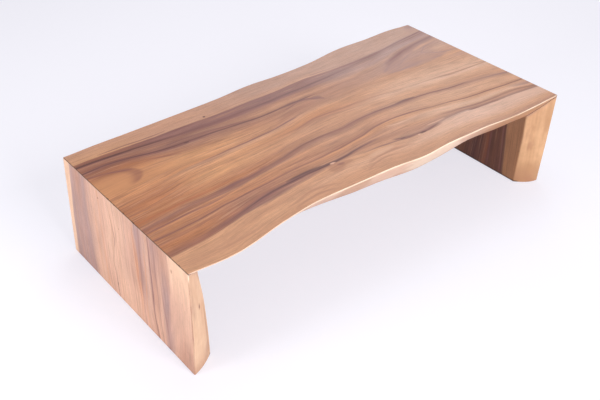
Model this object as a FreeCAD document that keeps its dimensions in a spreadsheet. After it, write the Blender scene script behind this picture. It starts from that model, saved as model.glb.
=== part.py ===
import FreeCAD, Part
import math
import os
import Sketcher

# A low coffee table with a mitred waterfall at both ends. A thick slab with two live edges lies on
# two legs cut from the same slab, so that the live edges turn the corners and run down to the
# floor. A row of loose tenons holds each mitre. Millimetres, +X along the table, +Z up, and the
# origin on the floor under the middle of the table.

doc = FreeCAD.newDocument("waterfall_coffee_table")

# Driving dimensions, each with what it measures.
DRIVING_SIZES = (
    ("table_length", "1524", "outer face of one leg to outer face of the other"),
    ("table_depth", "760", "between the furthest bulges of the two live edges"),
    ("table_height", "355", "floor to table top"),
    ("slab_thickness", "80", "top and legs alike"),
    ("front_wave", "51", "how far the front arris wanders behind its furthest bulge"),
    ("back_wave", "86", "how far the back arris wanders behind its furthest bulge"),
    ("front_wane", "86", "widest undercut of the front edge, from outer to inner arris"),
    ("back_wane", "62", "widest undercut of the back edge, from outer to inner arris"),
    ("arris_bevel", "3.5", "sanded bevel on the outer arrises"),
    ("inner_arris_bevel", "2", "sanded bevel on the inner arrises"),
    ("ridge_ease", "2", "sanded off each face along the ridge of a mitre"),
    ("foot_bevel", "2.5", "bevel round the foot of each leg"),
    ("saw_overrun", "6", "how far rough slabs and saw cuts run past the finished faces"),
    ("tenon_count", "6", "loose tenons in each mitre"),
    ("tenon_width", "28", "along the mitre"),
    ("tenon_thickness", "14", "across the mitre"),
    ("tenon_margin", "52", "inner arris to the middle of the first and last tenon"),
    ("mortise_side_play", "0.3", "room at each rounded edge of a tenon"),
    ("mortise_end_play", "1", "glue room past each end of a tenon"),
)

# Places that follow the slab's thickness. The mitre leaves least wood near the outer faces, so the
# tenons stand nearer to the inner corner.
TENON_REACH_SHARE = 0.58
TENON_SETBACK_SHARE = 0.34

# The live edges are smooth curves through rows of points. Each row gives three shares: how far the
# outer arris stands behind the furthest bulge (of the wave), how far the edge is undercut there
# (of the wane), and how much the edge bellies out between its two arrises (of that undercut).
# At a corner the top and the leg share one row, so that their edges meet on the mitre.
CORNER_SHARES = {
    ("front", "left"): (0.15, 1.00, 0.02),
    ("front", "right"): (0.57, 0.63, 0.04),
    ("back", "left"): (1.00, 0.80, 0.08),
    ("back", "right"): (0.10, 0.85, 0.08),
}

# Along the top from left to right: a row beside the left corner, the even stations between the
# corners, and a row beside the right corner.
TOP_SHARES = {
    "front": (
        (0.00, 1.00, 0.02),
        (0.00, 1.00, 0.02),
        (0.28, 0.98, 0.02),
        (0.61, 0.96, 0.02),
        (0.81, 0.93, 0.03),
        (1.00, 0.85, 0.05),
        (1.00, 0.80, 0.06),
        (0.96, 0.73, 0.07),
        (0.92, 0.64, 0.08),
        (0.93, 0.62, 0.08),
        (0.80, 0.60, 0.08),
        (0.58, 0.60, 0.08),
        (0.74, 0.52, 0.08),
        (0.80, 0.53, 0.08),
        (0.72, 0.67, 0.07),
        (0.75, 0.74, 0.06),
        (0.58, 0.77, 0.05),
        (0.46, 0.76, 0.05),
        (0.49, 0.74, 0.05),
        (0.51, 0.68, 0.04),
    ),
    "back": (
        (0.92, 0.84, 0.08),
        (0.91, 0.88, 0.09),
        (0.88, 0.92, 0.10),
        (0.85, 0.96, 0.10),
        (0.81, 1.00, 0.11),
        (0.78, 1.00, 0.11),
        (0.74, 0.97, 0.12),
        (0.70, 0.92, 0.12),
        (0.57, 0.88, 0.11),
        (0.51, 0.85, 0.10),
        (0.56, 0.84, 0.10),
        (0.54, 0.86, 0.10),
        (0.49, 0.90, 0.11),
        (0.41, 0.93, 0.12),
        (0.23, 0.92, 0.12),
        (0.11, 0.88, 0.11),
        (0.10, 0.84, 0.10),
        (0.12, 0.82, 0.10),
        (0.03, 0.82, 0.09),
        (0.00, 0.84, 0.08),
    ),
}

# Down each leg: a row beside the mitre, then the even stations to the floor.
LEG_SHARES = {
    ("front", "left"): (
        (0.10, 0.88, 0.02),
        (0.07, 0.75, 0.05),
        (0.04, 0.66, 0.08),
        (0.04, 0.56, 0.10),
        (0.10, 0.49, 0.13),
    ),
    ("front", "right"): (
        (0.58, 0.60, 0.07),
        (0.58, 0.59, 0.11),
        (0.59, 0.59, 0.16),
        (0.63, 0.57, 0.20),
        (0.64, 0.54, 0.23),
    ),
    ("back", "left"): (
        (0.96, 0.82, 0.09),
        (0.94, 0.85, 0.10),
        (0.91, 0.88, 0.11),
        (0.89, 0.86, 0.12),
        (0.88, 0.82, 0.12),
    ),
    ("back", "right"): (
        (0.12, 0.86, 0.09),
        (0.15, 0.88, 0.10),
        (0.17, 0.86, 0.11),
        (0.18, 0.82, 0.11),
        (0.18, 0.80, 0.12),
    ),
}

# Points beside a corner, as shares of the way from the slab's sawn end to the first station.
RUN_UP_SHARES = (0, 0.2, 0.55)

# Levels through the slab at which the edges are drawn, as shares of its thickness.
LEVEL_SHARES = (0, 1 / 3, 2 / 3, 1)

# An edge this share of the saw overrun from a plane still counts as lying in it.
NEAR_SHARE = 0.1


class Size:
    """A length with the formula in the sheet's names that gives it."""

    def __init__(self, value, formula):
        self.value = value
        self.formula = formula

    def __add__(self, other):
        return Size(self.value + other.value, f"({self.formula} + {other.formula})")

    def __sub__(self, other):
        return Size(self.value - other.value, f"({self.formula} - {other.formula})")

    def __mul__(self, factor):
        return Size(self.value * factor, f"{self.formula} * ({factor:.9g})")

    def __truediv__(self, factor):
        return Size(self.value / factor, f"{self.formula} / ({factor:.9g})")

    def __neg__(self):
        return self * -1


def fill_sheet():
    """Write the driving dimensions to the sheet and return them by name."""
    sheet = doc.addObject("Spreadsheet::Sheet", "sizes")
    for row, (name, value, meaning) in enumerate(DRIVING_SIZES, start=1):
        sheet.set(f"A{row}", name)
        sheet.set(f"B{row}", value)
        sheet.set(f"C{row}", meaning)
        sheet.setAlias(f"B{row}", name)
    doc.recompute()
    return {name: Size(float(sheet.get(name)), f"sizes.{name}") for name, _, _ in DRIVING_SIZES}


sizes = fill_sheet()
NOTHING = Size(0.0, "0")
half_length = sizes["table_length"] / 2
half_depth = sizes["table_depth"] / 2
height = sizes["table_height"]
thickness = sizes["slab_thickness"]
overrun = sizes["saw_overrun"]
near = overrun.value * NEAR_SHARE
tenon_count = int(sizes["tenon_count"].value)
tenon_reach = thickness * TENON_REACH_SHARE
tenon_setback = thickness * TENON_SETBACK_SHARE
SIDES = {"left": -1, "right": 1}
EDGES = {"front": -1, "back": 1}


def edge_place(edge, row, level_share):
    """How far along Y an edge lies, for a row of shares, at a level through the slab."""
    stand_in, undercut, belly = row
    bark_share = level_share - belly * 4 * level_share * (1 - level_share)
    behind = sizes[f"{edge}_wave"] * stand_in + sizes[f"{edge}_wane"] * (undercut * bark_share)
    return (half_depth - behind) * EDGES[edge]


def between(start, end, share):
    """The length that lies a share of the way from one length to another."""
    return start + (end - start) * share


def top_edge(edge, level_share):
    """Points of one live edge of the top, from left to right, at a level through the slab."""
    sawn_end = half_length - thickness * level_share + overrun
    first_station = half_length - thickness * 2
    left = CORNER_SHARES[edge, "left"]
    right = CORNER_SHARES[edge, "right"]
    rows = (left, left) + TOP_SHARES[edge] + (right, right)
    run_up = [between(sawn_end, first_station, share) for share in RUN_UP_SHARES]
    last = len(rows) - 2 * len(run_up) - 1
    stations = [between(-first_station, first_station, i / last) for i in range(last + 1)]
    places = [-place for place in run_up] + stations + run_up[::-1]
    return [(x, edge_place(edge, row, level_share)) for x, row in zip(places, rows)]


def leg_edge(edge, side, level_share):
    """Points of one live edge of a leg, from the mitre down past the floor, at a level."""
    sawn_end = height - thickness * level_share + overrun
    first_station = height - thickness * 2
    corner = CORNER_SHARES[edge, side]
    rows = (corner, corner) + LEG_SHARES[edge, side]
    run_up = [between(sawn_end, first_station, share) for share in RUN_UP_SHARES]
    last = len(rows) - len(run_up) - 1
    stations = [between(first_station, -overrun, i / last) for i in range(last + 1)]
    places = run_up + stations
    return [(edge_place(edge, row, level_share), z) for z, row in zip(places, rows)]


def new_body(name):
    body = doc.addObject("PartDesign::Body", name)
    body.Label = name
    return body


def new_sketch(body, name, role, offset=FreeCAD.Placement()):
    """A sketch on one of the body's origin planes, moved by an offset in the plane's own frame."""
    plane = [feature for feature in body.Origin.OriginFeatures if feature.Role == role][0]
    sketch = body.newObject("Sketcher::SketchObject", f"{body.Name}_{name}")
    sketch.AttachmentSupport = [(plane, "")]
    sketch.MapMode = "FlatFace"
    sketch.AttachmentOffset = offset
    return sketch


def flat(point):
    return FreeCAD.Vector(point[0].value, point[1].value, 0)


def pin(sketch, geometry, vertex, point):
    """Tie one vertex of a sketch to a point whose two lengths come from the sheet."""
    for kind, size in zip(("DistanceX", "DistanceY"), point):
        index = sketch.addConstraint(Sketcher.Constraint(kind, -1, 1, geometry, vertex, size.value))
        sketch.setExpression(f"Constraints[{index}]", size.formula)


def pin_across(sketch, geometry, vertex, size):
    """Tie one vertex of a sketch to a length along the sketch's first axis."""
    distance = Sketcher.Constraint("DistanceX", -1, 1, geometry, vertex, size.value)
    index = sketch.addConstraint(distance)
    sketch.setExpression(f"Constraints[{index}]", size.formula)


def join(sketch, first, first_vertex, second, second_vertex):
    sketch.addConstraint(
        Sketcher.Constraint("Coincident", first, first_vertex, second, second_vertex)
    )


def draw_curve(sketch, points):
    """A smooth curve drawn by its control points, each of them tied to the sheet."""
    curve = Part.BSplineCurve()
    curve.buildFromPolesMultsKnots([flat(point) for point in points], degree=3)
    spline = sketch.addGeometry(curve, False)
    up = FreeCAD.Vector(0, 0, 1)
    for index, point in enumerate(points):
        circle = Part.Circle(flat(point), up, thickness.value)
        handle = sketch.addGeometry(circle, True)
        control = "InternalAlignment:Sketcher::BSplineControlPoint"
        sketch.addConstraint(Sketcher.Constraint(control, handle, 3, spline, index))
        pin(sketch, handle, 3, point)
    return spline


def draw_outline(sketch, front, back):
    """A closed outline: the two live edges, joined by a straight line at each end."""
    front_curve = draw_curve(sketch, front)
    back_curve = draw_curve(sketch, back)
    for vertex, end in ((1, 0), (2, -1)):
        line = sketch.addGeometry(Part.LineSegment(flat(front[end]), flat(back[end])), False)
        join(sketch, front_curve, vertex, line, 1)
        join(sketch, line, 2, back_curve, vertex)


def draw_polygon(sketch, points):
    """A closed profile with straight sides, each corner tied to the sheet."""
    sides = []
    for start, end in zip(points, points[1:] + points[:1]):
        sides.append(sketch.addGeometry(Part.LineSegment(flat(start), flat(end)), False))
    for side, following, point in zip(sides, sides[1:] + sides[:1], points):
        join(sketch, side, 2, following, 1)
        pin(sketch, side, 1, point)


def draw_slot(sketch, length, width):
    """A slot along the sketch's second axis: two straight sides joined by half circles."""
    radius = width / 2
    reach = length / 2 - radius
    centres = [(NOTHING, reach), (NOTHING, -reach)]
    turns = [0.0, math.pi]
    arcs = []
    for centre, turn in zip(centres, turns):
        circle = Part.Circle(flat(centre), FreeCAD.Vector(0, 0, 1), radius.value)
        arc = sketch.addGeometry(Part.ArcOfCircle(circle, turn, turn + math.pi), False)
        pin(sketch, arc, 3, centre)
        arcs.append(arc)
    corners = [(-radius, reach), (-radius, -reach), (radius, -reach), (radius, reach)]
    left = sketch.addGeometry(Part.LineSegment(flat(corners[0]), flat(corners[1])), False)
    right = sketch.addGeometry(Part.LineSegment(flat(corners[2]), flat(corners[3])), False)
    chain = ((arcs[0], left), (left, arcs[1]), (arcs[1], right), (right, arcs[0]))
    for first, second in chain:
        sketch.addConstraint(Sketcher.Constraint("Tangent", first, 2, second, 1))
    for line, corner in ((left, corners[0]), (right, corners[2])):
        pin_across(sketch, line, 1, corner[0])


def loft_slab(body, role, level_place, front_edge, back_edge):
    """A rough slab with two live edges, skinned through its outlines at four levels.

    The outlines run from the highest level on the sketch plane's axis to the lowest.
    """
    levels = sorted(LEVEL_SHARES, key=lambda share: -level_place(share).value)
    outlines = []
    for number, level_share in enumerate(levels, start=1):
        sketch = new_sketch(body, f"outline_{number}", role)
        sketch.setExpression("AttachmentOffset.Base.z", level_place(level_share).formula)
        draw_outline(sketch, front_edge(level_share), back_edge(level_share))
        outlines.append(sketch)
    loft = body.newObject("PartDesign::AdditiveLoft", f"{body.Name}_rough_slab")
    loft.Profile = outlines[0]
    loft.Sections = outlines[1:]
    loft.Ruled = False
    loft.Closed = False
    doc.recompute()
    return loft


def edges_along(shape, across, level, along):
    """Names of the long edges that lie in the plane across = level and run in one direction."""
    names = []
    for number, edge in enumerate(shape.Edges, start=1):
        ends = [vertex.Point for vertex in edge.Vertexes]
        in_plane = all(abs(getattr(end, across) - level) < near for end in ends)
        run = abs(getattr(ends[0], along) - getattr(ends[-1], along))
        if in_plane and run > thickness.value:
            names.append(f"Edge{number}")
    return names


def bevel(body, base, edge_names, size_name):
    """Bevel the named edges of a feature by a size from the sheet."""
    feature = body.newObject("PartDesign::Chamfer", f"{body.Name}_{size_name}")
    feature.Base = (base, edge_names)
    feature.setExpression("Size", sizes[size_name].formula)
    doc.recompute()
    return feature


def mitre_profile(side, keeps_top):
    """What the saw and the sander take off at one mitre, in the plane of X and Z.

    The cut follows the line at 45 degrees from the inner corner, and ends in the eased ridge.
    """
    way = SIDES[side]
    ease = sizes["ridge_ease"]
    outer = half_length * way
    on_ridge = (outer - ease * (way / 2), height - ease / 2)
    past_inner = (outer - (thickness + overrun) * way, height - thickness - overrun)
    beyond = outer + overrun * (2 * way)
    above = height + overrun * 2
    if keeps_top:
        eased = outer - ease * way
        rest = [(beyond, past_inner[1]), (beyond, above), (eased, above), (eased, height)]
    else:
        eased = height - ease
        rest = [(past_inner[0], above), (beyond, above), (beyond, eased), (outer, eased)]
    return [on_ridge, past_inner] + rest


def saw(body, name, points):
    """Cut a closed profile in the plane of X and Z right through the body, along Y."""
    sketch = new_sketch(body, f"{name}_profile", "XZ_Plane")
    draw_polygon(sketch, points)
    pocket = body.newObject("PartDesign::Pocket", f"{body.Name}_{name}")
    pocket.Profile = sketch
    pocket.Type = "ThroughAll"
    pocket.SideType = "Symmetric"
    doc.recompute()
    return pocket


def mitre_place(side):
    """Where the row of tenons crosses a mitre, in X and Z, and how the mitre leans about Y."""
    way = SIDES[side]
    x = (half_length - thickness + tenon_setback) * way
    z = height - thickness + tenon_setback
    lean = FreeCAD.Rotation(FreeCAD.Vector(0, 1, 0), -45 * way)
    return x, z, lean


def tenon_row(side):
    """The first tenon's place along Y and the length of the row, between the inner arrises."""
    front = edge_place("front", CORNER_SHARES["front", side], 1)
    back = edge_place("back", CORNER_SHARES["back", side], 1)
    margin = sizes["tenon_margin"]
    return front + margin, back - front - margin * 2


def cut_mortises(body, side, into_top):
    """A row of mortises, square to the mitre, each with room at its rounded edges and its end."""
    x, z, lean = mitre_place(side)
    first, row_length = tenon_row(side)
    offset = FreeCAD.Placement(FreeCAD.Vector(), lean)
    sketch = new_sketch(body, f"{side}_mortise", "XY_Plane", offset)
    for axis, size in (("x", x), ("y", first), ("z", z)):
        sketch.setExpression(f"AttachmentOffset.Base.{axis}", size.formula)
    room = sizes["mortise_side_play"] * 2
    draw_slot(sketch, sizes["tenon_width"] + room, sizes["tenon_thickness"])
    pocket = body.newObject("PartDesign::Pocket", f"{body.Name}_{side}_mortise_cut")
    pocket.Profile = sketch
    pocket.Reversed = into_top
    pocket.setExpression("Length", (tenon_reach + sizes["mortise_end_play"]).formula)
    doc.recompute()
    pattern = body.newObject("PartDesign::LinearPattern", f"{body.Name}_{side}_mortise_row")
    pattern.Originals = [pocket]
    pattern.Direction = (sketch, ["V_Axis"])
    pattern.setExpression("Length", row_length.formula)
    pattern.setExpression("Occurrences", sizes["tenon_count"].formula)
    body.Tip = pattern
    doc.recompute()
    return pattern


def bevel_arrises(body, slab, across, outer_level, inner_level, along):
    """Sand a bevel along each long arris, wider on the outer pair than on the inner pair."""
    outer = edges_along(slab.Shape, across, outer_level.value, along)
    slab = bevel(body, slab, outer, "arris_bevel")
    inner = edges_along(slab.Shape, across, inner_level.value, along)
    bevel(body, slab, inner, "inner_arris_bevel")


def make_top():
    """The top: a live-edged slab, mitred at both ends, with a row of mortises in each mitre."""
    body = new_body("top_slab")
    loft_slab(
        body,
        "XY_Plane",
        lambda share: height - thickness * share,
        lambda share: top_edge("front", share),
        lambda share: top_edge("back", share),
    )
    for side in SIDES:
        slab = saw(body, f"{side}_mitre", mitre_profile(side, True))
    bevel_arrises(body, slab, "z", height, height - thickness, "x")
    for side in SIDES:
        cut_mortises(body, side, True)
    return body


def make_leg(side):
    """A leg: the slab's own end, turned down at the mitre and sawn level at the floor."""
    way = SIDES[side]
    outer = half_length * way
    inner = (half_length - thickness) * way
    body = new_body(f"{side}_leg")
    loft_slab(
        body,
        "YZ_Plane",
        lambda share: (half_length - thickness * share) * way,
        lambda share: leg_edge("front", side, share),
        lambda share: leg_edge("back", side, share),
    )
    saw(body, "mitre", mitre_profile(side, False))
    beyond = outer + overrun * way
    inside = inner - overrun * way
    below = -overrun * 2
    foot = [(beyond, NOTHING), (inside, NOTHING), (inside, below), (beyond, below)]
    slab = saw(body, "foot", foot)
    foot_edges = [
        f"Edge{number}"
        for number, edge in enumerate(slab.Shape.Edges, start=1)
        if edge.BoundBox.ZMax < near
    ]
    slab = bevel(body, slab, foot_edges, "foot_bevel")
    bevel_arrises(body, slab, "x", outer, inner, "z")
    cut_mortises(body, side, False)
    return body


def make_tenon(side, index):
    """One loose tenon with rounded edges, square across the mitre."""
    body = new_body(f"{side}_tenon_{index + 1}")
    sketch = new_sketch(body, "section", "XY_Plane")
    draw_slot(sketch, sizes["tenon_width"], sizes["tenon_thickness"])
    pad = body.newObject("PartDesign::Pad", f"{body.Name}_blank")
    pad.Profile = sketch
    pad.setExpression("Length", (tenon_reach * 2).formula)
    pad.SideType = "Symmetric"
    x, z, lean = mitre_place(side)
    first, row_length = tenon_row(side)
    y = first + row_length * (index / (tenon_count - 1))
    body.Placement = FreeCAD.Placement(FreeCAD.Vector(), lean)
    for axis, size in (("x", x), ("y", y), ("z", z)):
        body.setExpression(f"Placement.Base.{axis}", size.formula)
    return body


def check(bodies):
    """Stop if anything failed to build, and print what each piece holds."""
    for item in doc.Objects:
        broken = {"Invalid", "Error"} & set(item.State)
        if broken:
            raise RuntimeError(f"{item.Name} is {sorted(broken)}")
    for body in bodies:
        shape = body.Shape
        if shape.isNull() or not shape.isValid() or len(shape.Solids) != 1:
            raise RuntimeError(f"{body.Label} is not one valid solid")
        print(body.Label, round(shape.Volume), "mm3", len(shape.Faces), "faces")


bodies = [make_top()]
for side_name in SIDES:
    bodies.append(make_leg(side_name))
for side_name in SIDES:
    for tenon_index in range(tenon_count):
        bodies.append(make_tenon(side_name, tenon_index))
doc.recompute()
check(bodies)
os.makedirs("parts", exist_ok=True)
for body in bodies:
    body.Shape.exportStep(f"parts/{body.Label}.step")
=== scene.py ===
import math

import bpy
from mathutils import Matrix, Vector


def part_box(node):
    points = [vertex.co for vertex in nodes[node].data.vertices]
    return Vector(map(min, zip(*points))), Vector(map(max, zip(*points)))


# The looks of a live-edge waterfall coffee table. The slabs keep their solids, and each gets a
# wood whose figure runs over the top and down the legs. Metres, +X along the table, +Z up.

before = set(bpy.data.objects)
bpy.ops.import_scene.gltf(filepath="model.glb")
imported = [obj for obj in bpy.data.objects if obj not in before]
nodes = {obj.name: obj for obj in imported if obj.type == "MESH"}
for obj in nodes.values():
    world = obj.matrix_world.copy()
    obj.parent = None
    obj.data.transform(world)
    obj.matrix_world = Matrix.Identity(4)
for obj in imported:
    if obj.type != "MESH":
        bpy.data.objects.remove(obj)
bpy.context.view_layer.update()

MM = 0.001
HALF_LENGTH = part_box("right_leg")[1].x
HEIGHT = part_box("top_slab")[1].z
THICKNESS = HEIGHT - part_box("top_slab")[0].z

# The camera: a 50 mm lens on a 36 mm sensor, above the front left corner and slightly tilted.
CAMERA_PLACE = Vector((-1.5736, -1.7123, 1.6980))
CAMERA_AZIMUTH = math.radians(40.953)
CAMERA_ELEVATION = math.radians(35.564)
CAMERA_ROLL = math.radians(2.309)
LENS_MM = 50.0
SENSOR_MM = 36.0

# Colours of the wood in plain light, and of painted highlight and shade: red, green and blue from 0
# to 255.
TONES = {
    "sap": (210, 156, 120),
    "sap_dull": (196, 143, 111),
    "sap_back": (205, 155, 129),
    "sap_pale": (222, 177, 150),
    "sap_rose": (190, 147, 128),
    "sap_cool": (223, 181, 160),
    "gold": (216, 156, 112),
    "honey": (206, 144, 102),
    "light_amber": (192, 129, 91),
    "amber": (184, 119, 80),
    "russet": (174, 104, 70),
    "tan": (200, 146, 113),
    "rose_tan": (213, 162, 131),
    "light_brown": (179, 126, 100),
    "brown": (158, 103, 81),
    "drab": (160, 114, 98),
    "plum": (150, 105, 98),
    "heart": (134, 87, 82),
    "umber": (98, 60, 58),
    "ink": (60, 36, 34),
    "rose_brown": (186, 139, 118),
    "mauve": (162, 121, 114),
    "grey_mauve": (168, 134, 128),
    "peach": (206, 161, 139),
    "light_peach": (217, 173, 148),
    "pale_peach": (228, 186, 157),
    "orange": (200, 140, 104),
    "leg_mauve": (176, 138, 128),
    "bark_peach": (246, 210, 178),
    "bark_tan": (224, 178, 143),
    "bark_gold": (232, 186, 144),
    "bark_brown": (194, 146, 108),
    "bark_rose": (245, 210, 187),
    "bark_dull": (229, 181, 157),
    # Painted shade on the top's live edge.
    "shaded_bark": (196, 142, 104),
    "inner_sap": (234, 170, 125),
    # A painted highlight on the arrises, the ridge and the top's live edge.
    "highlight_cream": (255, 236, 212),
    "glue": (80, 54, 44),
    "tenon": (190, 150, 108),
    "tenon_dark": (160, 120, 82),
}

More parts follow.
